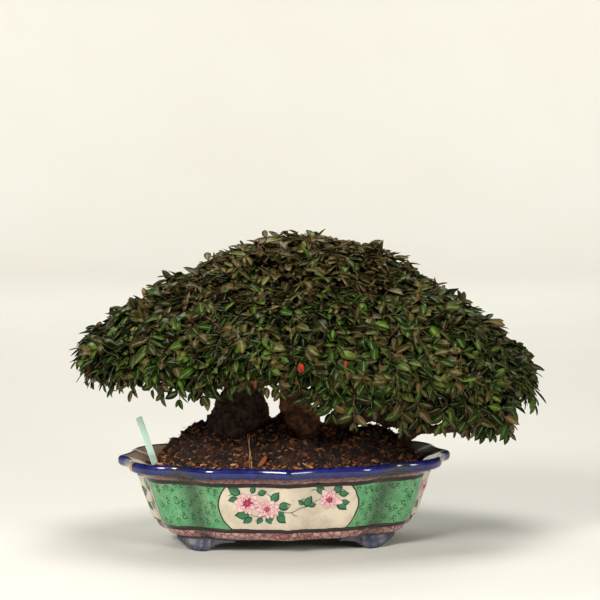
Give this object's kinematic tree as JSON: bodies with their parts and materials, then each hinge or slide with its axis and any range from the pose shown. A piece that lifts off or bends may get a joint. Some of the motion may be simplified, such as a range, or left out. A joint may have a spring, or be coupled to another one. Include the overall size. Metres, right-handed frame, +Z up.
{
  "type": "potted bonsai",
  "caption": "Low spreading asiatic jasmine bonsai with a dense dome of small paired leaves on short thick trunks, heaped soil and a lobed, footed, glazed oval pot with painted flower panels.",
  "frame": {"origin": "on the ground under the middle of the whole tree and pot", "axes": "+X along the pot's and the dome's long side, to the right seen from the front; +Z up; the front with the painted flower panel faces -Y"},
  "size_m": [0.6002, 0.4072, 0.3905],
  "materials": {
    "pot_glaze": "glossy painted glaze",
    "soil": "rough and crumbly",
    "bark": "rough bark",
    "leaves": "waxy",
    "label_plastic": "satin",
    "screen_plastic": "matt"
  },
  "bodies": {
    "root": {"pot": "pot_glaze", "soil": "soil", "trunk": "bark", "plant_label": "label_plastic", "drain_screen_right": "screen_plastic", "drain_screen_left": "screen_plastic", "leafy_branch_crown": "leaves", "leafy_branch_shoulder_1": "leaves", "leafy_branch_shoulder_2": "leaves", "leafy_branch_shoulder_3": "leaves", "leafy_branch_shoulder_4": "leaves", "leafy_branch_shoulder_5": "leaves", "leafy_branch_skirt_1": "leaves", "leafy_branch_skirt_2": "leaves", "leafy_branch_skirt_3": "leaves", "leafy_branch_skirt_4": "leaves", "leafy_branch_skirt_5": "leaves", "leafy_branch_skirt_6": "leaves", "leafy_branch_skirt_7": "leaves", "leafy_branch_skirt_8": "leaves", "leafy_branch_skirt_9": "leaves"}
  },
  "joints": []
}
